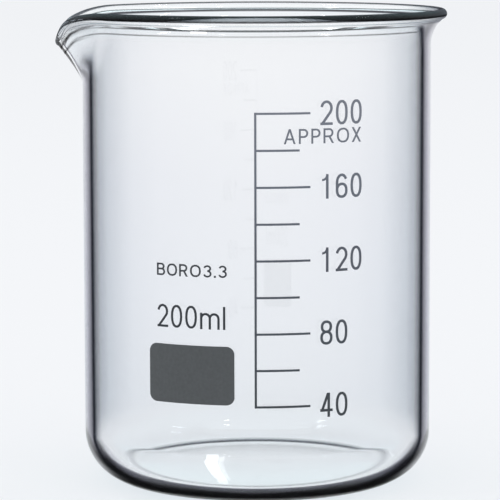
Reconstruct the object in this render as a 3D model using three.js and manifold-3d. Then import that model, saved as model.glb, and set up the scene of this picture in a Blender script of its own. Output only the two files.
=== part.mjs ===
// A low-form laboratory beaker of 200 ml: one body of blown borosilicate glass with a flared,
// beaded rim and a pouring spout, and the grey enamel print fired onto its front.
//
// Millimetres, +Z up. The origin is on the axis of the wall, in the plane of the flat base.
// -Y is the printed front. An azimuth is counted from -Y towards +X, seen from above.
import * as THREE from "three";
import { mergeVertices } from "three/addons/utils/BufferGeometryUtils.js";
import Module from "manifold-3d";

const wasm = await Module();
wasm.setup();

// ---------------------------------------------------------------- driving dimensions

const HEIGHT = 89.8; // base to the top of the rim
const BODY_RADIUS = 33; // outside of the straight wall
const WALL = 1.6; // thickness of the wall
const FLOOR = 2.1; // thickness of the floor, a little more than the wall
const HEEL_RADIUS = 9.6; // outer rounding between wall and base
const INNER_HEEL_RADIUS = 8;

const RIM_RADIUS = 36; // outside of the rim bead
const BEAD_RADIUS = 0.95; // fire-polished edge, thicker than the wall
const NECK_Z = 83; // the wall starts to flare here
const NECK_TOP_Z = 86.4; // height at which the flare would meet the straight wall

const SPOUT_AZIMUTH = THREE.MathUtils.degToRad(-89);
const SPOUT_Z = 76.3; // lowest point of the spout's channel
const SPOUT_REACH = 37.1; // middle of the bead at the tip, from the axis
const SPOUT_TIP_Z = 83.7; // and its height
const CHANNEL_FOOT_ANGLE = THREE.MathUtils.degToRad(16); // half the width at SPOUT_Z
const CHANNEL_RIM_ANGLE = THREE.MathUtils.degToRad(32); // half the width at the rim
const SAG_ANGLE = THREE.MathUtils.degToRad(38); // the rim dips gently this far to each side
const NOTCH_ANGLE = THREE.MathUtils.degToRad(14); // and steeply this far
const SAG_SHARE = 0.6; // of the dip at the tip
const NOSE_ROUNDING = 0.1; // share of each of these angles that is rounded off at the middle

const PRINT_GAP = 0.05; // clear of the glass
const PRINT_FILM = 0.1; // thickness of the enamel
const PRINT_RADIUS = BODY_RADIUS + PRINT_GAP;

const MARK_40_Z = 19.1; // height of the 40 ml mark
const MARK_STEP = 6.65; // 20 ml
const MARK_COUNT = 9; // 40 ml to 200 ml
const MARK_LINE = 0.42; // width of the printed lines
const SPINE_X = -0.25; // the comb's upright, along the wall from the front line
const LONG_TICK = 10; // every 40 ml
const SHORT_TICK = 8;

// ---------------------------------------------------------------- fineness

const AROUND = 96; // columns of glass around the axis
const HEEL_STEPS = 5;
const NECK_STEPS = 7;
const BEAD_STEPS = 6;
const PRINT_STEP = THREE.MathUtils.degToRad(3.75); // facets of curved print
const LOOP_STEPS = 18; // corners of a closed letter

const glass = () =>
  new THREE.MeshStandardMaterial({
    color: 0xdde6ea,
    roughness: 0.05,
    metalness: 0,
    transparent: true,
    opacity: 0.35,
  });
const enamel = () =>
  new THREE.MeshStandardMaterial({ color: 0x4d4f51, roughness: 0.55, metalness: 0 });

// ---------------------------------------------------------------- joining and cutting

function toSolid(geometry) {
  const bare = geometry.clone();
  bare.deleteAttribute("normal");
  bare.deleteAttribute("uv");
  const welded = mergeVertices(bare);
  return new wasm.Manifold(
    new wasm.Mesh({
      numProp: 3,
      vertProperties: Float32Array.from(welded.attributes.position.array),
      triVerts: Uint32Array.from(welded.index.array),
    }),
  );
}

function toGeometry(solid) {
  const { vertProperties, triVerts } = solid.getMesh();
  const geometry = new THREE.BufferGeometry();
  geometry.setAttribute("position", new THREE.BufferAttribute(vertProperties, 3));
  geometry.setIndex(new THREE.BufferAttribute(triVerts, 1));
  geometry.computeVertexNormals();
  return geometry;
}

const join = (solids) => solids.reduce((whole, solid) => whole.add(solid));

function piece(name, geometry, material) {
  const mesh = new THREE.Mesh(geometry, material);
  mesh.name = name;
  return mesh;
}

// ---------------------------------------------------------------- glass body

// Middle line of the wall from the foot of the spout to the rim, as (radius, height).
const middle = BODY_RADIUS - WALL / 2;
const plainNeck = new THREE.CurvePath();
plainNeck.add(
  new THREE.LineCurve(new THREE.Vector2(middle, SPOUT_Z), new THREE.Vector2(middle, NECK_Z)),
);
plainNeck.add(
  new THREE.QuadraticBezierCurve(
    new THREE.Vector2(middle, NECK_Z),
    new THREE.Vector2(middle, NECK_TOP_Z),
    new THREE.Vector2(RIM_RADIUS - BEAD_RADIUS, HEIGHT - BEAD_RADIUS),
  ),
);

// The same line where the wall is pulled out into the middle of the spout.
const spoutNeck = new THREE.QuadraticBezierCurve(
  new THREE.Vector2(middle, SPOUT_Z),
  new THREE.Vector2(middle + 0.9, SPOUT_Z + 2.2),
  new THREE.Vector2(SPOUT_REACH, SPOUT_TIP_Z),
);

// 1 in the middle of the spout and 0 at the half angle: a wedge with a rounded nose.
function wedge(azimuth, halfAngle) {
  const turn = Math.abs(azimuth - SPOUT_AZIMUTH);
  const away = Math.min(turn, 2 * Math.PI - turn) / halfAngle;
  const rounded = (x) => Math.hypot(x, NOSE_ROUNDING) - NOSE_ROUNDING;
  return Math.max(0, 1 - rounded(away) / rounded(1)) ** 2;
}

const onAxisFrame = (azimuth, radius, z) =>
  new THREE.Vector3(radius * Math.sin(azimuth), -radius * Math.cos(azimuth), z);

// Point of the middle line at a share t of the way up to the rim.
function neckMiddle(azimuth, t) {
  const { lerp } = THREE.MathUtils;
  const plain = plainNeck.getPoint(t);
  const pulled = spoutNeck.getPointAt(t);
  const out = wedge(azimuth, lerp(CHANNEL_FOOT_ANGLE, CHANNEL_RIM_ANGLE, t));
  const down = lerp(wedge(azimuth, NOTCH_ANGLE), wedge(azimuth, SAG_ANGLE), SAG_SHARE);
  return onAxisFrame(azimuth, lerp(plain.x, pulled.x, out), lerp(plain.y, pulled.y, down));
}

// The middle point, the direction along the wall towards the rim and the outward normal.
function neckFrame(azimuth, t) {
  const small = 1e-3;
  const low = Math.max(0, t - small);
  const high = Math.min(1, t + small);
  const along = neckMiddle(azimuth, high).sub(neckMiddle(azimuth, low)).normalize();
  const around = neckMiddle(azimuth + small, t).sub(neckMiddle(azimuth - small, t));
  const outward = around.cross(along).normalize();
  return { at: neckMiddle(azimuth, t), along, outward };
}

// Closed section through the glass at one azimuth, from the middle of the base over the
// outside, the bead and the inside to the middle of the floor.
function glassSection(azimuth) {
  const points = [];
  const put = (radius, z) => points.push(onAxisFrame(azimuth, radius, z));
  const quarter = Math.PI / 2;
  const inner = BODY_RADIUS - WALL;

  put(0, 0);
  for (let i = 0; i <= HEEL_STEPS; i++) {
    const a = (i / HEEL_STEPS) * quarter;
    put(
      BODY_RADIUS - HEEL_RADIUS + HEEL_RADIUS * Math.sin(a),
      HEEL_RADIUS - HEEL_RADIUS * Math.cos(a),
    );
  }

  // The bead's circle leaves the flat faces of the wall a little before the edge.
  const beadStart = Math.acos(WALL / 2 / BEAD_RADIUS);
  const lastT = 1 - (BEAD_RADIUS * Math.sin(beadStart)) / plainNeck.getLength();
  for (let i = 0; i < NECK_STEPS; i++) {
    const { at, outward } = neckFrame(azimuth, (i / NECK_STEPS) * lastT);
    points.push(at.addScaledVector(outward, WALL / 2));
  }
  const rim = neckFrame(azimuth, 1);
  for (let i = 0; i <= BEAD_STEPS; i++) {
    const a = -beadStart + (i / BEAD_STEPS) * (Math.PI + 2 * beadStart);
    points.push(
      rim.at
        .clone()
        .addScaledVector(rim.outward, BEAD_RADIUS * Math.cos(a))
        .addScaledVector(rim.along, BEAD_RADIUS * Math.sin(a)),
    );
  }
  for (let i = NECK_STEPS - 1; i >= 0; i--) {
    const { at, outward } = neckFrame(azimuth, (i / NECK_STEPS) * lastT);
    points.push(at.addScaledVector(outward, -WALL / 2));
  }

  for (let i = HEEL_STEPS; i >= 0; i--) {
    const a = (i / HEEL_STEPS) * quarter;
    put(
      inner - INNER_HEEL_RADIUS + INNER_HEEL_RADIUS * Math.sin(a),
      FLOOR + INNER_HEEL_RADIUS - INNER_HEEL_RADIUS * Math.cos(a),
    );
  }
  put(0, FLOOR);
  return points;
}

// Turned like a lathe part, then every column of points takes its own section.
function glassGeometry() {
  const profile = glassSection(0).map((p) => new THREE.Vector2(-p.y, p.z));
  const turned = new THREE.LatheGeometry(profile, AROUND);
  const position = turned.attributes.position;
  for (let column = 0; column <= AROUND; column++) {
    const azimuth = ((column % AROUND) / AROUND) * 2 * Math.PI;
    glassSection(azimuth).forEach((p, i) => {
      position.setXYZ(column * profile.length + i, p.x, p.y, p.z);
    });
  }
  return toGeometry(toSolid(turned));
}

// ---------------------------------------------------------------- print on the wall

// Print is laid out flat, x along the wall and y up, and then wrapped around it.
function wrapOnWall(geometry) {
  const position = geometry.attributes.position;
  for (let i = 0; i < position.count; i++) {
    const p = onAxisFrame(
      position.getX(i) / BODY_RADIUS,
      PRINT_RADIUS + position.getZ(i),
      position.getY(i),
    );
    position.setXYZ(i, p.x, p.y, p.z);
  }
  geometry.computeVertexNormals();
  return geometry;
}

// A bar of enamel that follows the wall from x0 to x1, thinned by inset on both faces.
function curvedBar(x0, x1, z0, z1, inset = 0) {
  const steps = Math.max(1, Math.ceil((x1 - x0) / BODY_RADIUS / PRINT_STEP));
  const edge = (radius) =>
    Array.from({ length: steps + 1 }, (_, i) => {
      const p = onAxisFrame((x0 + ((x1 - x0) * i) / steps) / BODY_RADIUS, radius, 0);
      return new THREE.Vector2(p.x, p.y);
    });
  const outline = [
    ...edge(PRINT_RADIUS + PRINT_FILM - inset),
    ...edge(PRINT_RADIUS + inset).reverse(),
  ];
  const geometry = new THREE.ExtrudeGeometry(new THREE.Shape(outline), {
    depth: z1 - z0,
    bevelEnabled: false,
  });
  return toSolid(geometry.translate(0, 0, z0));
}

// Upright line with a tick every 20 ml, a longer one every 40 ml.
function graduationComb() {
  const half = MARK_LINE / 2;
  const topZ = MARK_40_Z + (MARK_COUNT - 1) * MARK_STEP;
  const bars = [curvedBar(SPINE_X - half, SPINE_X + half, MARK_40_Z - half, topZ + half)];
  const inset = 0.01; // keeps a tick's faces just inside the upright's where they join
  const tickHalf = half - inset;
  for (let mark = 0; mark < MARK_COUNT; mark++) {
    const z = MARK_40_Z + mark * MARK_STEP;
    const reach = mark % 2 === 0 ? LONG_TICK : SHORT_TICK;
    bars.push(curvedBar(SPINE_X, SPINE_X + reach, z - tickHalf, z + tickHalf, inset));
  }
  return toGeometry(join(bars));
}

function roundedRectangle(width, height, radius) {
  const x = width / 2;
  const y = height / 2;
  const shape = new THREE.Shape();
  shape.moveTo(radius - x, -y);
  shape.lineTo(x - radius, -y);
  shape.absarc(x - radius, radius - y, radius, -Math.PI / 2, 0, false);
  shape.lineTo(x, y - radius);
  shape.absarc(x - radius, y - radius, radius, 0, Math.PI / 2, false);
  shape.lineTo(radius - x, y);
  shape.absarc(radius - x, y - radius, radius, Math.PI / 2, Math.PI, false);
  shape.lineTo(-x, radius - y);
  shape.absarc(radius - x, radius - y, radius, Math.PI, 1.5 * Math.PI, false);
  return shape;
}

// Patch of enamel to write on: a curved bar whose corners are cut round.
function markingPatch() {
  const width = 16.75;
  const height = 10.75;
  const corner = 1.5;
  const centreX = -12.48;
  const centreZ = 24.75;
  const centreAzimuth = centreX / BODY_RADIUS;
  const chord = 2 * (PRINT_RADIUS + PRINT_FILM) * Math.sin(width / 2 / BODY_RADIUS);
  const cutter = new THREE.ExtrudeGeometry(roundedRectangle(chord, height, corner), {
    depth: 2 * BODY_RADIUS,
    bevelEnabled: false,
    curveSegments: 3,
  });
  cutter.rotateX(Math.PI / 2).rotateZ(centreAzimuth).translate(0, 0, centreZ);
  const sheet = curvedBar(
    centreX - width / 2,
    centreX + width / 2,
    centreZ - height / 2,
    centreZ + height / 2,
  );
  return toGeometry(sheet.intersect(toSolid(cutter)));
}

// ---------------------------------------------------------------- letters

// Outline of a pen stroke of constant width along a line of points.
function stroke(points, pen, closed = false) {
  const last = points.length - 1;
  const at = (i) => (closed ? points[(i + points.length) % points.length] : points[i]);
  const normal = (from, to) =>
    new THREE.Vector2(from.y - to.y, to.x - from.x).normalize();
  const side = (offset) =>
    points.map((p, i) => {
      const before = closed || i > 0 ? normal(at(i - 1), p) : normal(p, at(1));
      const after = closed || i < last ? normal(p, at(i + 1)) : before;
      const mitre = before.clone().add(after).normalize();
      return p.clone().addScaledVector(mitre, offset / mitre.dot(after));
    });
  if (!closed) return new THREE.Shape([...side(pen / 2), ...side(-pen / 2).reverse()]);
  const ring = new THREE.Shape(side(-pen / 2));
  ring.holes.push(new THREE.Path(side(pen / 2)));
  return ring;
}

const point = (x, y) => new THREE.Vector2(x, y);

function arc(x, y, radiusX, radiusY, fromDegrees, toDegrees) {
  const steps = Math.ceil((Math.abs(toDegrees - fromDegrees) / 360) * LOOP_STEPS);
  return Array.from({ length: steps + 1 }, (_, i) => {
    const a = THREE.MathUtils.degToRad(fromDegrees + ((toDegrees - fromDegrees) * i) / steps);
    return point(x + radiusX * Math.cos(a), y + radiusY * Math.sin(a));
  });
}

// Closed letter O or zero: an ellipse with slightly fuller corners.
function loop(x, y, radiusX, radiusY, pen) {
  const fullness = 2 / 2.3;
  const full = (v) => Math.sign(v) * Math.abs(v) ** fullness;
  const points = Array.from({ length: LOOP_STEPS }, (_, i) => {
    const a = (i / LOOP_STEPS) * 2 * Math.PI;
    return point(x + radiusX * full(Math.cos(a)), y + radiusY * full(Math.sin(a)));
  });
  return stroke(points, pen, true);
}

const bar = (x0, y0, x1, y1) =>
  new THREE.Shape([point(x0, y0), point(x1, y0), point(x1, y1), point(x0, y1)]);

// Slanted limb between two heights, cut level at both ends.
function limb(x0, y0, x1, y1, pen) {
  const half = (pen / 2) * (Math.hypot(x1 - x0, y1 - y0) / (y1 - y0));
  return new THREE.Shape([
    point(x0 - half, y0),
    point(x0 + half, y0),
    point(x1 + half, y1),
    point(x1 - half, y1),
  ]);
}

// Bowl of a P, R or B: out from the stem at one height, round, and back at another.
function bowl(right, low, high, pen) {
  const radius = (high - low) / 2;
  const centreX = right - pen / 2 - radius;
  return stroke(
    [
      point(pen / 2, low),
      ...arc(centreX, low + radius, radius, radius, -90, 90),
      point(pen / 2, high),
    ],
    pen,
  );
}

// Centre lines of the two stacked bowls of a 3 or an 8.
function stackedBowls(w, h, pen) {
  const waist = 0.53 * h;
  const lowRadius = (waist - pen / 2) / 2;
  const highRadius = (h - pen / 2 - waist) / 2;
  return {
    low: [w / 2, pen / 2 + lowRadius, (w - pen) / 2, lowRadius],
    high: [w / 2, waist + highRadius, (0.92 * w - pen) / 2, highRadius],
  };
}

// Each letter gives its strokes for a width, a height and a pen. Widths are per unit of height.
const LETTERS = {
  0: { width: 0.54, draw: (w, h, pen) => [loop(w / 2, h / 2, (w - pen) / 2, (h - pen) / 2, pen)] },
  1: {
    width: 0.54,
    draw: (w, h, pen) => {
      const stem = 0.66 * w;
      const flagLeft = 0.15 * w;
      return [
        bar(stem - pen, 0, stem, h),
        stroke(arc(flagLeft, h, stem - pen / 2 - flagLeft, 0.24 * h, -90, 0), 0.8 * pen),
      ];
    },
  },
  2: {
    width: 0.54,
    draw: (w, h, pen) => {
      const radiusY = 0.26 * h;
      const top = arc(w / 2, h - pen / 2 - radiusY, (w - pen) / 2, radiusY, 170, -40);
      return [stroke([...top, point(0.75 * pen, 0.5 * pen)], pen), bar(0, 0, w, pen)];
    },
  },
  3: {
    width: 0.7,
    draw: (w, h, pen) => {
      const { low, high } = stackedBowls(w, h, pen);
      return [stroke(arc(...high, 165, -90), pen), stroke(arc(...low, 90, -165), pen)];
    },
  },
  4: {
    width: 0.55,
    draw: (w, h, pen) => {
      const stem = 0.78 * w;
      const shelf = 0.23 * h;
      return [
        bar(stem - pen, 0, stem, h),
        bar(0, shelf, w, shelf + pen),
        limb(0.6 * pen, shelf, stem - 0.7 * pen, h, pen),
      ];
    },
  },
  6: {
    width: 0.54,
    draw: (w, h, pen) => {
      const ring = 0.315 * h;
      const crown = 0.3 * h;
      const top = arc(w / 2, h - pen / 2 - crown, (w - pen) / 2, crown, 25, 180);
      return [
        loop(w / 2, ring, (w - pen) / 2, ring - pen / 2, pen),
        stroke([...top, point(pen / 2, ring)], pen),
      ];
    },
  },
  8: {
    width: 0.54,
    draw: (w, h, pen) => {
      const { low, high } = stackedBowls(w, h, pen);
      return [loop(...low, pen), loop(...high, pen)];
    },
  },
  A: {
    width: 0.8,
    draw: (w, h, pen) => {
      const foot = 0.55 * pen;
      return [
        limb(foot, 0, w / 2, h, pen),
        limb(w - foot, 0, w / 2, h, pen),
        bar(0.2 * w, 0.26 * h, 0.8 * w, 0.26 * h + pen),
      ];
    },
  },
  B: {
    width: 0.76,
    draw: (w, h, pen) => [
      bar(0, 0, pen, h),
      bowl(w, pen / 2, 0.53 * h, pen),
      bowl(0.94 * w, 0.53 * h, h - pen / 2, pen),
    ],
  },
  O: { width: 0.92, draw: (w, h, pen) => [loop(w / 2, h / 2, (w - pen) / 2, (h - pen) / 2, pen)] },
  P: {
    width: 0.64,
    draw: (w, h, pen) => [bar(0, 0, pen, h), bowl(w, 0.46 * h, h - pen / 2, pen)],
  },
  R: {
    width: 0.76,
    draw: (w, h, pen) => {
      const knee = 0.46 * h;
      return [
        bar(0, 0, pen, h),
        bowl(0.94 * w, knee, h - pen / 2, pen),
        limb(w - 0.6 * pen, 0, 0.55 * w, knee, pen),
      ];
    },
  },
  X: {
    width: 0.74,
    draw: (w, h, pen) => {
      const foot = 0.6 * pen;
      return [limb(foot, 0, w - foot, h, pen), limb(w - foot, 0, foot, h, pen)];
    },
  },
  ".": { width: 0.165, draw: (w) => [bar(0, 0, w, w)] },
  l: { width: 0.1, draw: (w, h, pen) => [bar(0, 0, pen, h)] },
  m: {
    width: 0.87,
    draw: (w, h, pen) => {
      const top = 0.715 * h;
      const legs = [pen / 2, w / 2, w - pen / 2];
      const radius = (legs[1] - legs[0]) / 2;
      const arches = [0, 1].map((i) =>
        stroke(
          [
            point(legs[i + 1], 0),
            ...arc(legs[i] + radius, top - pen / 2 - radius, radius, radius, 0, 180),
          ],
          pen,
        ),
      );
      return [bar(0, 0, pen, top), ...arches];
    },
  },
};

function letterGeometry(letter, height, pen, x, baseline) {
  const { width, draw } = LETTERS[letter];
  const strokes = draw(width * height, height, pen).map((shape) =>
    toSolid(new THREE.ExtrudeGeometry(shape, { depth: PRINT_FILM, bevelEnabled: false })),
  );
  return wrapOnWall(toGeometry(join(strokes)).translate(x, baseline, 0));
}

// One mesh for each letter of a line of print, named PREFIX_1, PREFIX_2 and so on.
function printLine(prefix, text, { x, baseline, height, pen, gap }) {
  let start = x;
  return [...text].map((letter, i) => {
    const geometry = letterGeometry(letter, height, pen, start, baseline);
    start += LETTERS[letter].width * height + gap;
    return piece(`${prefix}_${i + 1}`, geometry, enamel());
  });
}

function volumeNumeral(volume) {
  const height = 4.45;
  const markZ = MARK_40_Z + ((volume - 40) / 20) * MARK_STEP;
  return printLine(`volume_${volume}`, String(volume), {
    x: 11.65,
    baseline: markZ - height / 2,
    height,
    pen: 0.48,
    gap: 0.65,
  });
}

// ---------------------------------------------------------------- the beaker

const beaker = new THREE.Group();
beaker.name = "beaker";
beaker.add(piece("glass_body", glassGeometry(), glass()));

const print = new THREE.Group();
print.add(piece("graduation_comb", graduationComb(), enamel()));
print.add(piece("marking_patch", markingPatch(), enamel()));
for (const volume of [200, 160, 120, 80, 40]) print.add(...volumeNumeral(volume));
print.add(
  ...printLine("approx", "APPROX", { x: 4.85, baseline: 66.8, height: 2.7, pen: 0.34, gap: 0.6 }),
  ...printLine("capacity", "200ml", { x: -19.1, baseline: 33.2, height: 4.2, pen: 0.42, gap: 0.62 }),
  ...printLine("glass_type", "BORO3.3", {
    x: -19.15,
    baseline: 42.65,
    height: 2.25,
    pen: 0.32,
    gap: 0.44,
  }),
);
beaker.add(print);

export default beaker;
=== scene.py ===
"""A 200 ml low-form beaker of clear borosilicate glass with a grey enamel print.

Everything is in metres, +Z up. The beaker's axis is the Z axis, its flat base is at Z = 0, its
printed front faces -Y and its spout points to -X. An azimuth is counted from -Y towards +X.
"""

import math

import bpy
import numpy as np
from mathutils import Matrix, Vector


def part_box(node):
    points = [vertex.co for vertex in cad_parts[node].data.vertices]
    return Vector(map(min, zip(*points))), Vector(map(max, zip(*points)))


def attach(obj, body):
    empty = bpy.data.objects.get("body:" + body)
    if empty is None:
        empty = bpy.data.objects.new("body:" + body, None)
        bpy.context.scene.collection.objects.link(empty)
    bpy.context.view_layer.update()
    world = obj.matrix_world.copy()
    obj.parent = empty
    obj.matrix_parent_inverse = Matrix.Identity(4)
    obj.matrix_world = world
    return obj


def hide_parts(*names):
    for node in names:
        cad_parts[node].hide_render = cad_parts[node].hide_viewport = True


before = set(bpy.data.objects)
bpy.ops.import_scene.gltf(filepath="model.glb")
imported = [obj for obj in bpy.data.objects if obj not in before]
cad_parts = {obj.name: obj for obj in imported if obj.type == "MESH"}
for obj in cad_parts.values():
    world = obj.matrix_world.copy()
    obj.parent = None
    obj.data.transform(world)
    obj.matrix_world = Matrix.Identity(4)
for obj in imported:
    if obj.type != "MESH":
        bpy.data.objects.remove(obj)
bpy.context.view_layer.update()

# ---------------------------------------------------------------- driving dimensions

MM = 0.001
PRINT_STANDOFF = 0.15 * MM  # outer face of the enamel over the glass

base_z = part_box("glass_body")[0].z
rim_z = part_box("glass_body")[1].z
rim_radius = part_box("glass_body")[1].x
body_radius = -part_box("graduation_comb")[0].y - PRINT_STANDOFF

WALL = 1.6 * MM
FLOOR = 2.1 * MM
HEEL_RADIUS = 9.6 * MM
INNER_HEEL_RADIUS = 8 * MM
BASE_RECESS = 0.08 * MM  # the underside is very slightly hollow inside its ring of contact
BEAD_RADIUS = 0.95 * MM  # fire-polished edge, thicker than the wall
NECK_Z = 83 * MM  # the wall starts to flare here
NECK_TOP_Z = 86.4 * MM  # height at which the flare would meet the straight wall

SPOUT_AZIMUTH = math.radians(-89)
SPOUT_Z = 76.3 * MM  # lowest point of the spout's channel
SPOUT_REACH = 37.1 * MM  # middle of the bead at the tip, from the axis
SPOUT_TIP_Z = 83.7 * MM  # and its height
CHANNEL_BEND_OUT = 0.9 * MM  # the channel's curve bends here, out from the wall
CHANNEL_BEND_UP = 2.2 * MM  # and up from its foot
CHANNEL_FOOT_ANGLE = math.radians(16)  # half the width at the foot
CHANNEL_RIM_ANGLE = math.radians(32)  # and at the rim
SAG_ANGLE = math.radians(38)  # the rim dips gently this far to each side
NOTCH_ANGLE = math.radians(14)  # and steeply this far
SAG_SHARE = 0.6  # of the dip at the tip
NOSE_ROUNDING = 0.1  # share of each of these angles that is rounded off at the middle

PAINTED_RING_RADIUS = 25 * MM  # painted shade: a faint dark ring painted round the floor inside
PAINTED_RING_WIDTH = 1.1 * MM

# ---------------------------------------------------------------- fineness of the glass

AROUND = 360
CURVE_STEPS = 60
BASE_SHARES = (0.1, 0.2, 0.3, 0.4, 0.5, 0.6, 0.7, 0.8, 0.9, 0.96)
WALL_SHARES = (0.25, 0.5, 0.75)
FLOOR_SHARES = (0.9, 0.6, 0.3)
HEEL_STEPS = 20
NECK_STEPS = 26
BEAD_STEPS = 30

# ---------------------------------------------------------------- where shade is painted on the glass

BEAD_ON_LIP = (0.4, 0.6)  # places of the bead on the way from outside to inside
SKIN_END, SKIN_FADE = 0.97, 0.10  # the wall's painted dark line, a painted shade, stops here on the neck, over this share
SKIN_GAP_WIDTH, SKIN_GAP_DEPTH = 1.3, 2.6  # and it leaves out the spout's channel
MOUTH_WIDTH, MOUTH_DEPTH = 0.8, 1.6  # bolder painted dark lines, a painted shade, in the spout's mouth, by the dip of the rim

# ---------------------------------------------------------------- camera, floor and lamps

CAMERA_PLACE = (0, -563.15 * MM, 112.3 * MM)
CAMERA_DOWN = math.radians(6.9385)
CAMERA_LEFT = math.radians(0.1342)
CAMERA_ROLL = math.radians(0.1383)
CAMERA_SENSOR = 36
CAMERA_LENS = 213.9

GROUND_HALF = 30  # metres
GROUND_GAP = 0.05 * MM
PALE = (0.86, 0.875, 0.90)  # of the ground and of the room near its level

# name, place, width and height in metres, and power in watts
LAMPS = (
    ("window_left", (-1.2, -0.6, 1.6), 0.15, 0.4, 1.6),
    ("window_right", (1.3, 0.05, 1.7), 0.12, 0.3, 1.1),
    ("window_front", (0.7, -1.1, 2.0), 0.15, 0.2, 0.8),
    ("strip_behind", (-0.10, 3.0, 0.72), 0.03, 0.9, 0.13),
)

# ---------------------------------------------------------------- glass body


def bezier(start, control, end):
    """Points of a quadratic Bezier curve, as rows of (radius, height)."""
    t = np.linspace(0, 1, CURVE_STEPS + 1)[:, None]
    start, control, end = map(np.array, (start, control, end))
    return (1 - t) ** 2 * start + 2 * t * (1 - t) * control + t**2 * end


def point_at(line, share):
    """The point at this share of a line's length."""
    steps = np.linalg.norm(np.diff(line, axis=0), axis=1)
    lengths = np.concatenate([[0], np.cumsum(steps)])
    at = share * lengths[-1]
    return np.array([np.interp(at, lengths, line[:, 0]), np.interp(at, lengths, line[:, 1])])


# Middle line of the wall from the foot of the spout to the rim, and the same line where it is
# pulled out into the middle of the spout.
middle = body_radius - WALL / 2
plain_neck = np.vstack(
    [
        [[middle, SPOUT_Z]],
        bezier(
            (middle, NECK_Z),
            (middle, NECK_TOP_Z),
            (rim_radius - BEAD_RADIUS, rim_z - BEAD_RADIUS),
        ),
    ]
)
spout_neck = bezier(
    (middle, SPOUT_Z),
    (middle + CHANNEL_BEND_OUT, SPOUT_Z + CHANNEL_BEND_UP),
    (SPOUT_REACH, SPOUT_TIP_Z),
)


def wedge(azimuth, half_angle):
    """1 in the middle of the spout and 0 at the half angle, with a rounded nose."""
    turn = np.abs((azimuth - SPOUT_AZIMUTH + math.pi) % (2 * math.pi) - math.pi)

    def rounded(x):
        return np.hypot(x, NOSE_ROUNDING) - NOSE_ROUNDING

    return np.maximum(0, 1 - rounded(turn / half_angle) / rounded(1)) ** 2


def around_axis(azimuth, radius, z):
    """Rows of (x, y, z) for an array of azimuths."""
    azimuth, radius, z = np.broadcast_arrays(azimuth, radius, z)
    return np.stack([radius * np.sin(azimuth), -radius * np.cos(azimuth), z], -1)


def mix(a, b, share):
    return a + (b - a) * share


def neck_middle(azimuth, t):
    """Middle of the wall at a share t of the way from the foot of the spout to the rim."""
    plain = point_at(plain_neck, t)
    pulled = point_at(spout_neck, t)
    out = wedge(azimuth, mix(CHANNEL_FOOT_ANGLE, CHANNEL_RIM_ANGLE, t))
    down = mix(wedge(azimuth, NOTCH_ANGLE), wedge(azimuth, SAG_ANGLE), SAG_SHARE)
    return around_axis(azimuth, mix(plain[0], pulled[0], out), mix(plain[1], pulled[1], down))


def unit(vectors):
    return vectors / np.linalg.norm(vectors, axis=-1, keepdims=True)


def neck_frame(azimuth, t):
    """The middle point, the direction along the wall to the rim and the outward normal."""
    small = 1e-3
    above, below = min(1, t + small), max(0, t - small)
    along = unit(neck_middle(azimuth, above) - neck_middle(azimuth, below))
    around = neck_middle(azimuth + small, t) - neck_middle(azimuth - small, t)
    return neck_middle(azimuth, t), along, unit(np.cross(around, along))


def glass_rings(azimuth):
    """Rings of points around the axis, from near the middle of the base over the outside,
    the bead and the inside to near the middle of the floor."""
    rings = []

    def put(radius, z):
        rings.append(around_axis(azimuth, radius, base_z + z))

    foot = body_radius - HEEL_RADIUS
    for share in BASE_SHARES:
        put(foot * share, BASE_RECESS * (1 - share**2))
    quarter = np.linspace(0, math.pi / 2, HEEL_STEPS + 1)
    for a in quarter:
        put(foot + HEEL_RADIUS * math.sin(a), HEEL_RADIUS * (1 - math.cos(a)))
    for share in WALL_SHARES:
        put(body_radius, mix(HEEL_RADIUS, SPOUT_Z, share))

    bead_start = math.acos(WALL / 2 / BEAD_RADIUS)
    neck_length = np.linalg.norm(np.diff(plain_neck, axis=0), axis=1).sum()
    last_t = 1 - BEAD_RADIUS * math.sin(bead_start) / neck_length
    neck_shares = np.arange(NECK_STEPS) / NECK_STEPS * last_t
    for t in neck_shares:
        at, _, outward = neck_frame(azimuth, t)
        rings.append(at + outward * WALL / 2)
    at, along, outward = neck_frame(azimuth, 1)
    for a in np.linspace(-bead_start, math.pi + bead_start, BEAD_STEPS + 1):
        rings.append(at + BEAD_RADIUS * (outward * math.cos(a) + along * math.sin(a)))
    for t in neck_shares[::-1]:
        at, _, outward = neck_frame(azimuth, t)
        rings.append(at - outward * WALL / 2)

    inner = body_radius - WALL
    inner_foot = inner - INNER_HEEL_RADIUS
    for share in WALL_SHARES[::-1]:
        put(inner, mix(FLOOR + INNER_HEEL_RADIUS, SPOUT_Z, share))
    for a in quarter[::-1]:
        put(
            inner_foot + INNER_HEEL_RADIUS * math.sin(a),
            FLOOR + INNER_HEEL_RADIUS * (1 - math.cos(a)),
        )
    for share in FLOOR_SHARES:
        put(inner_foot * share, FLOOR)
    return rings


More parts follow.
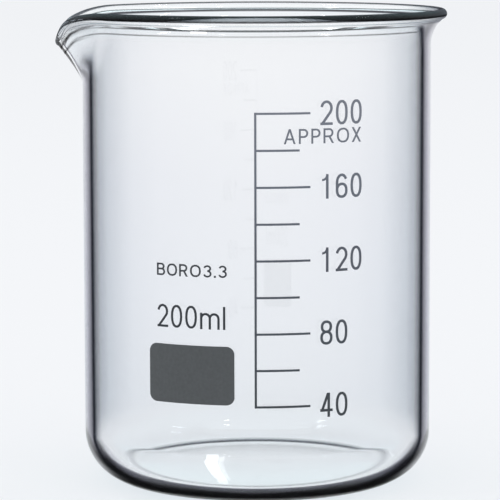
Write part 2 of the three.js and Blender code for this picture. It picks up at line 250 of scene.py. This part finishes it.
def glass_zones(azimuth, rings):
    """Values from 0 to 1 at every point of the glass, by the name the material reads them by.

    lining: the inside, below the bead. bead: the bead. skin: the outside that carries the wall's
    painted dark line, a painted shade. lip: place on the way over the neck and the bead to the
    inside, which the painted dark lines round the neck and the bead follow. mouth: near the
    middle of the spout, where those lines are bolder. The last zone is the painted dark ring
    round the floor inside, a painted shade.
    """
    neck_from = len(BASE_SHARES) + HEEL_STEPS + 1 + len(WALL_SHARES)
    bead_from = neck_from + NECK_STEPS
    lining_from = bead_from + BEAD_STEPS + 1
    neck_to = lining_from + NECK_STEPS
    names = ("lining", "bead", "skin", "lip", "mouth", "painted_ring_shade")
    zones = {name: np.zeros((len(rings), AROUND)) for name in names}

    zones["lining"][lining_from:] = 1
    zones["bead"][bead_from - 1 : lining_from + 1] = 1

    # Where the wall's painted dark line, a painted shade, goes: the outside up to the neck,
    # fading out high on the neck and left out in the spout's channel.
    zones["skin"][:neck_from] = 1
    for step in range(NECK_STEPS):
        t = step / NECK_STEPS
        half_angle = mix(CHANNEL_FOOT_ANGLE, CHANNEL_RIM_ANGLE, t) * SKIN_GAP_WIDTH
        gap = np.clip(SKIN_GAP_DEPTH * wedge(azimuth, half_angle) * t**0.5, 0, 1)
        fade = np.clip((SKIN_END - t) / SKIN_FADE, 0, 1)
        zones["skin"][neck_from + step] = fade * (1 - gap)

    # Place along the lip, which the painted dark lines, a painted shade, round the neck and on
    # the bead follow.
    bead_low, bead_high = BEAD_ON_LIP
    lip = np.ones(len(rings))
    lip[:neck_from] = 0
    lip[neck_from:bead_from] = np.arange(NECK_STEPS) / NECK_STEPS * bead_low
    over_bead = np.arange(BEAD_STEPS + 1) / BEAD_STEPS
    lip[bead_from:lining_from] = mix(bead_low, bead_high, over_bead)
    down_neck = (np.arange(NECK_STEPS) + 1) / NECK_STEPS
    lip[lining_from:neck_to] = mix(bead_high, 1, down_neck)
    zones["lip"][:] = lip[:, None]

    # Where those painted dark lines are bolder, in the spout's mouth.
    mouth = MOUTH_DEPTH * wedge(azimuth, SAG_ANGLE * MOUTH_WIDTH)
    zones["mouth"][neck_from:neck_to] = np.clip(mouth, 0, 1)

    # Painted shade: a faint dark ring round the floor inside.
    for ring in range(neck_to, len(rings)):
        x, y, z = rings[ring][0]
        if z < base_z + FLOOR + INNER_HEEL_RADIUS / 2:
            away = abs(math.hypot(x, y) - PAINTED_RING_RADIUS)
            zones["painted_ring_shade"][ring] = np.clip(2 - 2 * away / PAINTED_RING_WIDTH, 0, 1)

    # Last come the middle of the base, which is 0 in every zone, and the middle of the floor.
    floor_middle = {"lining": 1, "lip": 1}
    return {
        name: np.append(values, [0, floor_middle.get(name, 0)]) for name, values in zones.items()
    }


def glass_body():
    azimuth = np.arange(AROUND) / AROUND * 2 * math.pi
    rings = glass_rings(azimuth)
    bottom = (0, 0, base_z + BASE_RECESS)
    top = (0, 0, base_z + FLOOR)
    points = np.vstack([*rings, bottom, top])
    bottom_index, top_index = len(points) - 2, len(points) - 1
    last = (len(rings) - 1) * AROUND
    faces = []
    for column in range(AROUND):
        after = (column + 1) % AROUND
        faces.append((bottom_index, after, column))
        for low in range(0, last, AROUND):
            high = low + AROUND
            faces.append((low + column, low + after, high + after, high + column))
        faces.append((top_index, last + column, last + after))
    mesh = bpy.data.meshes.new("glass")
    mesh.from_pydata(points.tolist(), [], faces)
    mesh.shade_smooth()
    for name, values in glass_zones(azimuth, rings).items():
        mesh.attributes.new(name, "FLOAT", "POINT").data.foreach_set("value", values)
    mesh.materials.append(glass_material())
    mesh.update()
    piece = bpy.data.objects.new("glass_wall", mesh)
    bpy.context.scene.collection.objects.link(piece)
    return piece


# ---------------------------------------------------------------- materials


class Nodes:
    """A new node material, with short calls to add and link its nodes."""

    def __init__(self, name):
        self.material = bpy.data.materials.new(name)
        self.material.use_nodes = True
        self.tree = self.material.node_tree
        self.tree.nodes.clear()
        self.output = self.add("ShaderNodeOutputMaterial")

    def add(self, kind, inputs=None, **settings):
        node = self.tree.nodes.new(kind)
        for name, value in settings.items():
            setattr(node, name, value)
        for name, value in (inputs or {}).items():
            if isinstance(value, bpy.types.NodeSocket):
                self.tree.links.new(value, node.inputs[name])
            else:
                node.inputs[name].default_value = value
        return node

    def ramp(self, factor, stops):
        """A colour from a factor, by stops of (factor, colour)."""
        node = self.add("ShaderNodeValToRGB", {"Fac": factor})
        elements = node.color_ramp.elements
        while len(elements) < len(stops):
            elements.new(0.5)
        for element, (position, value) in zip(elements, stops):
            element.position = position
            element.color = (*value, 1)
        return node.outputs["Color"]

    def blend(self, factor, first, second, **settings):
        """One colour, or another, or a mix of both."""
        node = self.add("ShaderNodeMix", data_type="RGBA", **settings)
        for socket, value in ((0, factor), (6, first), (7, second)):
            if isinstance(value, bpy.types.NodeSocket):
                self.tree.links.new(value, node.inputs[socket])
            else:
                node.inputs[socket].default_value = value
        return node.outputs[2]

    def times(self, first, second):
        return self.blend(1, first, second, blend_type="MULTIPLY")

    def between(self, value, low, high, **settings):
        """0 at the low value, 1 at the high one."""
        node = self.add("ShaderNodeMapRange", {0: value, 1: low, 2: high}, **settings)
        return node.outputs[0]

    def show(self, shader):
        self.tree.links.new(shader, self.output.inputs["Surface"])
        return self.material


def grey(value):
    return (value, value, value)


def glass_material():
    """Clear borosilicate glass.

    The real glass looks dark where light is caught inside it, which a white room with nothing
    dark in it doesn't show. So that darkness is painted shade: the glass's colour goes dark by
    the angle it is seen at, in another way for the wall, the heel, the rim, the ring round the
    floor and the far side, and it is painted a little darker low on the body.
    """
    n = Nodes("borosilicate_glass")
    blend, times = n.blend, n.times
    facing = n.add("ShaderNodeLayerWeight", {"Blend": 0.5}).outputs["Facing"]
    geometry = n.add("ShaderNodeNewGeometry")
    z = n.add("ShaderNodeSeparateXYZ", {0: geometry.outputs["Position"]}).outputs["Z"]

    def above(low, high, interpolation="SMOOTHSTEP"):
        """0 under the low height and 1 over the high one, in millimetres."""
        return n.between(
            z, base_z + low * MM, base_z + high * MM, interpolation_type=interpolation
        )

    def zone(name):
        return n.add("ShaderNodeAttribute", attribute_name=name).outputs["Fac"]

    white = (1, 1, 1, 1)
    # Painted shade: the glass is darker and a little bluer low on the body, darkest about 15 to
    # 20 mm up, and clear again by 80 mm.
    body = n.ramp(
        above(0, 100, "LINEAR"),
        [
            (0.0, (1, 1, 1)),
            (0.05, (0.97, 0.975, 0.98)),
            (0.08, (0.945, 0.95, 0.96)),
            (0.15, (0.875, 0.89, 0.905)),
            (0.20, (0.865, 0.885, 0.905)),
            (0.40, (0.905, 0.92, 0.94)),
            (0.60, (0.94, 0.945, 0.96)),
            (0.80, (1, 1, 1)),
        ],
    )
    # Painted shade: the dark line down each side of the wall, by the angle the outside is seen
    # at.
    wall_skin = n.ramp(
        facing,
        [
            (0.0, (1, 1, 1)),
            (0.60, (0.97, 0.97, 0.975)),
            (0.632, (0.85, 0.86, 0.87)),
            (0.6476, (0.68, 0.69, 0.71)),
            (0.6600, (0.45, 0.47, 0.50)),
            (0.6740, (0.21, 0.22, 0.25)),
            (0.6850, (0.075, 0.08, 0.10)),
            (0.6940, (0.07, 0.07, 0.09)),
            (0.7060, (0.22, 0.22, 0.255)),
            (0.7166, (0.46, 0.46, 0.50)),
            (0.7350, (0.88, 0.88, 0.92)),
            (0.7609, (0.97, 0.97, 1)),
            (0.85, (1, 1, 1)),
        ],
    )
    # Painted shade: the black band round the heel, by the angle it is seen at.
    heel_skin = n.ramp(
        facing,
        [
            (0.0, (1, 1, 1)),
            (0.40, (1, 1, 1)),
            (0.44, (0.78, 0.78, 0.84)),
            (0.47, (0.3, 0.3, 0.33)),
            (0.50, (0.08, 0.08, 0.085)),
            (0.66, (0.035, 0.035, 0.035)),
            (0.78, (0.04, 0.04, 0.04)),
            (0.85, (0.16, 0.157, 0.15)),
            (0.89, (0.48, 0.475, 0.47)),
            (0.94, (0.86, 0.86, 0.86)),
            (1.0, (0.97, 0.97, 0.97)),
        ],
    )
    # Painted shade: the black band where the heel turns into the wall.
    heel_side = n.ramp(
        facing,
        [
            (0.50, (1, 1, 1)),
            (0.56, (0.7, 0.7, 0.75)),
            (0.60, (0.3, 0.3, 0.33)),
            (0.64, (0.06, 0.06, 0.07)),
            (0.71, (0.04, 0.04, 0.045)),
            (0.75, (0.2, 0.2, 0.21)),
            (0.79, (0.55, 0.55, 0.56)),
            (0.84, (0.85, 0.85, 0.86)),
            (1.0, (0.97, 0.97, 0.97)),
        ],
    )
    # Painted shade: dark at the very foot of the heel, then grey.
    heel_foot = n.ramp(
        facing,
        [
            (0.0, (1, 1, 1)),
            (0.56, (0.05, 0.05, 0.05)),
            (0.64, (0.5, 0.49, 0.48)),
            (1.0, (0.62, 0.61, 0.6)),
        ],
    )
    # Painted shade: the faint dark ring round the floor inside, seen at a slant.
    painted_ring_shade = n.ramp(
        facing,
        [
            (0.0, (1, 1, 1)),
            (0.45, (0.2, 0.21, 0.23)),
            (0.66, (0.1, 0.11, 0.13)),
            (0.72, (0.75, 0.75, 0.76)),
            (0.78, (1, 1, 1)),
        ],
    )
    # Painted shade: the inside of the wall goes dark where it is seen at a slant.
    far_wall = n.ramp(
        facing,
        [
            (0.0, (1, 1, 1)),
            (0.20, (0.98, 0.982, 0.99)),
            (0.35, (0.93, 0.94, 0.955)),
            (0.58, (0.70, 0.73, 0.765)),
            (0.72, (0.40, 0.435, 0.475)),
            (0.82, (0.15, 0.16, 0.19)),
            (0.88, (0.045, 0.05, 0.065)),
            (1.0, (0.03, 0.033, 0.045)),
        ],
    )
    # Painted shade: the dark line where light is caught inside the wall, seen from within the
    # glass.
    caught_in_wall = n.ramp(
        facing,
        [
            (0.24, (1, 1, 1)),
            (0.262, (0.5, 0.5, 0.53)),
            (0.268, (0.05, 0.05, 0.07)),
            (0.277, (0.12, 0.115, 0.15)),
            (0.285, (0.38, 0.37, 0.43)),
            (0.293, (0.62, 0.61, 0.67)),
            (0.302, (0.9, 0.9, 0.93)),
            (0.36, (1, 1, 1)),
        ],
    )
    # Painted shade: the floor and heel seen from within the glass go dark where light is caught
    # inside them.
    caught_in_floor = n.ramp(
        facing,
        [
            (0.262, (1, 1, 1)),
            (0.275, (0.12, 0.12, 0.15)),
            (0.32, (0.03, 0.03, 0.035)),
            (0.62, (0.03, 0.03, 0.035)),
            (0.74, (0.9, 0.9, 0.9)),
        ],
    )
    # Painted shade: the bead goes darker toward its edges.
    bead_edge = n.ramp(
        facing,
        [
            (0.0, (1, 1, 1)),
            (0.5, (1, 1, 1)),
            (0.75, (0.5, 0.52, 0.55)),
            (1.0, (0.25, 0.26, 0.29)),
        ],
    )
    along = zone("lip")
    # Painted shade: dark bands and a grey middle on the bead, and a dark line at its inner edge,
    # by place along the lip.
    rim_lines = n.ramp(
        along,
        [
            (0.448, (1, 1, 1)),
            (0.4535, (0.12, 0.125, 0.13)),
            (0.4655, (0.12, 0.125, 0.13)),
            (0.4725, (0.5, 0.53, 0.55)),
            (0.53, (0.5, 0.53, 0.55)),
            (0.546, (0.22, 0.225, 0.24)),
            (0.572, (0.22, 0.225, 0.24)),
            (0.580, (1, 1, 1)),
            (0.624, (1, 1, 1)),
            (0.632, (0.1, 0.1, 0.11)),
            (0.640, (0.1, 0.1, 0.11)),
            (0.648, (1, 1, 1)),
        ],
    )

    def neck_line(place, shades, half=0.008):
        """A painted dark line, a painted shade, round the neck, at this place along the lip."""
        here = n.ramp(
            along, [(place - half, grey(0)), (place, grey(1)), (place + half, grey(0))]
        )
        return blend(here, white, n.ramp(facing, shades))

    # Painted shade: two dark lines round the neck, bolder in the spout's mouth.
    upper = neck_line(0.366, [(0.0, grey(0.16)), (0.6, grey(0.12)), (0.68, grey(1))])
    lower = neck_line(
        0.318, [(0.0, grey(0.6)), (0.38, grey(0.1)), (0.62, grey(0.15)), (0.67, grey(1))]
    )
    bold = times(
        neck_line(0.362, [(0.0, grey(0.04)), (1.0, grey(0.1))], 0.022),
        neck_line(0.305, [(0.0, grey(0.1)), (1.0, grey(0.2))], 0.016),
    )
    lip = times(rim_lines, blend(zone("mouth"), times(upper, lower), bold))
    wall = above(5, 12)
    lining = zone("lining")

    # From the foot of the heel upwards, each painted shade goes over into the next one.
    heel = blend(above(0.9, 1.6), heel_foot, heel_skin)
    heel = blend(above(2.2, 4.5), heel, heel_side)
    outer = blend(above(5.5, 10), heel, blend(zone("skin"), white, wall_skin))
    inner = blend(zone("painted_ring_shade"), blend(wall, white, far_wall), painted_ring_shade)
    outside_in = times(lip, blend(lining, times(body, outer), inner))
    inside_out = blend(wall, caught_in_floor, blend(lining, white, caught_in_wall))
    shell = blend(geometry.outputs["Backfacing"], outside_in, inside_out)
    rim = blend(geometry.outputs["Backfacing"], times(bead_edge, lip), white)
    # The glass's colour is all painted shade, put together from the parts above.
    painted_shade = blend(zone("bead"), shell, rim)

    # Soft light and shadow go straight through, so that the glass casts only a faint shadow.
    glass = n.add("ShaderNodeBsdfGlass", {"Roughness": 0.0, "IOR": 1.47, "Color": painted_shade})
    clear = n.add("ShaderNodeBsdfTransparent", {"Color": (0.95, 0.965, 0.97, 1)})
    path = n.add("ShaderNodeLightPath")
    surface = glass.outputs[0]
    for ray in ("Is Diffuse Ray", "Is Shadow Ray"):
        surface = n.add(
            "ShaderNodeMixShader", {0: path.outputs[ray], 1: surface, 2: clear.outputs[0]}
        ).outputs[0]
    return n.show(surface)


def enamel_material():
    """Fired grey print. The scale and the text are paler toward the top, a painted reflection of
    light on the upper print, and the two lines of text over the patch are darker than it."""
    n = Nodes("enamel_print")
    place = n.add("ShaderNodeTexCoord").outputs["Object"]
    speckle = n.add("ShaderNodeTexNoise", {"Vector": place, "Scale": 1800, "Detail": 3})
    position = n.add("ShaderNodeNewGeometry").outputs["Position"]
    at = n.add("ShaderNodeSeparateXYZ", {0: position}).outputs

    height = n.between(at["Z"], base_z, base_z + 100 * MM)
    # Painted reflection: the scale is paler toward the top.
    scale = n.ramp(
        height,
        [
            (0.19, (0.028, 0.037, 0.046)),
            (0.32, (0.049, 0.061, 0.078)),
            (0.46, (0.075, 0.084, 0.109)),
            (0.59, (0.119, 0.137, 0.171)),
            (0.72, (0.167, 0.183, 0.222)),
        ],
    )
    # The patch's own tone, and the text above it darker; the text is paler toward the top, a
    # painted reflection.
    text_and_patch = n.ramp(
        height,
        [
            (0.31, (0.064, 0.071, 0.076)),
            (0.325, (0.0106, 0.0162, 0.0239)),
            (0.44, (0.024, 0.030, 0.039)),
        ],
    )
    shade = n.blend(n.between(at["X"], -3 * MM, -2 * MM), text_and_patch, scale)
    colour = n.times(shade, n.ramp(speckle.outputs["Fac"], [(0.3, grey(0.85)), (0.7, grey(1))]))
    skin = n.add("ShaderNodeBsdfPrincipled", {"Base Color": colour, "Roughness": 0.5})
    return n.show(skin.outputs[0])


# ---------------------------------------------------------------- camera, floor and light


def add_camera():
    """Looks a little down on the beaker, from its height on a long lens."""
    forward = Vector(
        (
            -math.sin(CAMERA_LEFT) * math.cos(CAMERA_DOWN),
            math.cos(CAMERA_LEFT) * math.cos(CAMERA_DOWN),
            -math.sin(CAMERA_DOWN),
        )
    )
    level = forward.cross(Vector((0, 0, 1))).normalized()
    upright = level.cross(forward)
    right = level * math.cos(CAMERA_ROLL) - upright * math.sin(CAMERA_ROLL)
    up = level * math.sin(CAMERA_ROLL) + upright * math.cos(CAMERA_ROLL)
    turn = Matrix((right, up, -forward)).transposed()
    data = bpy.data.cameras.new("camera")
    data.sensor_width = CAMERA_SENSOR
    data.lens = CAMERA_LENS
    camera = bpy.data.objects.new("camera", data)
    camera.matrix_world = Matrix.Translation(CAMERA_PLACE) @ turn.to_4x4()
    bpy.context.scene.collection.objects.link(camera)
    bpy.context.scene.camera = camera


def add_floor():
    half, z = GROUND_HALF, base_z - GROUND_GAP
    corners = [(-half, -half, z), (half, -half, z), (half, half, z), (-half, half, z)]
    mesh = bpy.data.meshes.new("floor")
    mesh.from_pydata(corners, [], [(0, 1, 2, 3)])
    floor = bpy.data.objects.new("floor", mesh)
    bpy.context.scene.collection.objects.link(floor)
    n = Nodes("pale_floor")
    paint = n.add(
        "ShaderNodeBsdfPrincipled",
        {"Base Color": (*PALE, 1), "Roughness": 0.9, "Specular IOR Level": 0.0},
    )
    floor.data.materials.append(n.show(paint.outputs[0]))


def add_world():
    """Soft even white light from all round, before a pale backdrop.

    What is seen through the glass is dim above the level of the ground, and what its surface
    mirrors is a bright ceiling. Elevations are in degrees.
    """
    world = bpy.data.worlds.new("studio")
    bpy.context.scene.world = world
    world.use_nodes = True
    tree = world.node_tree
    tree.nodes.clear()

    def light(colour):
        node = tree.nodes.new("ShaderNodeBackground")
        if isinstance(colour, bpy.types.NodeSocket):
            tree.links.new(colour, node.inputs["Color"])
        else:
            node.inputs["Color"].default_value = (*colour, 1)
        return node.outputs[0]

    def choose(factor, first, second):
        node = tree.nodes.new("ShaderNodeMixShader")
        for socket, value in zip(node.inputs, (factor, first, second)):
            tree.links.new(value, socket)
        return node.outputs[0]

    split = tree.nodes.new("ShaderNodeSeparateXYZ")
    tree.links.new(tree.nodes.new("ShaderNodeTexCoord").outputs["Generated"], split.inputs[0])
    z = split.outputs["Z"]

    def by_elevation(stops):
        ramp = tree.nodes.new("ShaderNodeValToRGB")
        tree.links.new(z, ramp.inputs[0])
        while len(ramp.color_ramp.elements) < len(stops):
            ramp.color_ramp.elements.new(0.5)
        for element, (elevation, colour) in zip(ramp.color_ramp.elements, stops):
            element.position = math.sin(math.radians(elevation))
            element.color = (*colour, 1)
        return ramp.outputs["Color"]

    behind_glass = light(
        by_elevation(
            [
                (13, PALE),
                (17, (0.10, 0.125, 0.14)),
                (45, (0.14, 0.175, 0.19)),
                (80, (0.30, 0.345, 0.36)),
            ]
        )
    )
    mirrored = light(
        by_elevation([(13, PALE), (20, (0.95, 1.1, 1.13)), (60, (1.2, 1.4, 1.45))])
    )
    path = tree.nodes.new("ShaderNodeLightPath")
    seen = choose(path.outputs["Is Transmission Ray"], light((1, 1, 1)), behind_glass)
    seen = choose(path.outputs["Is Glossy Ray"], seen, mirrored)
    seen = choose(path.outputs["Is Camera Ray"], seen, light(PALE))
    output = tree.nodes.new("ShaderNodeOutputWorld")
    tree.links.new(seen, output.inputs["Surface"])


def add_softbox(name, place, width, height, power):
    """A rectangular studio lamp that faces the beaker."""
    data = bpy.data.lights.new(name, "AREA")
    data.shape = "RECTANGLE"
    data.size = width
    data.size_y = height
    data.energy = power
    lamp = bpy.data.objects.new(name, data)
    lamp.location = place
    aim = Vector((0, 0, rim_z / 2)) - Vector(place)
    lamp.rotation_euler = aim.to_track_quat("-Z", "Y").to_euler()
    bpy.context.scene.collection.objects.link(lamp)


# ---------------------------------------------------------------- putting it together

add_camera()
add_floor()
add_world()
for lamp in LAMPS:
    add_softbox(*lamp)

glass = glass_body()
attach(glass, "root")
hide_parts("glass_body")

enamel = enamel_material()
for name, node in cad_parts.items():
    if name != "glass_body":
        node.data.materials.clear()
        node.data.materials.append(enamel)
        node.visible_glossy = False  # or the glass right behind it mirrors it as a second line

scene = bpy.context.scene
scene.view_settings.view_transform = "Standard"
scene.cycles.max_bounces = 40
scene.cycles.transmission_bounces = 40
scene.cycles.glossy_bounces = 12
scene.cycles.transparent_max_bounces = 16
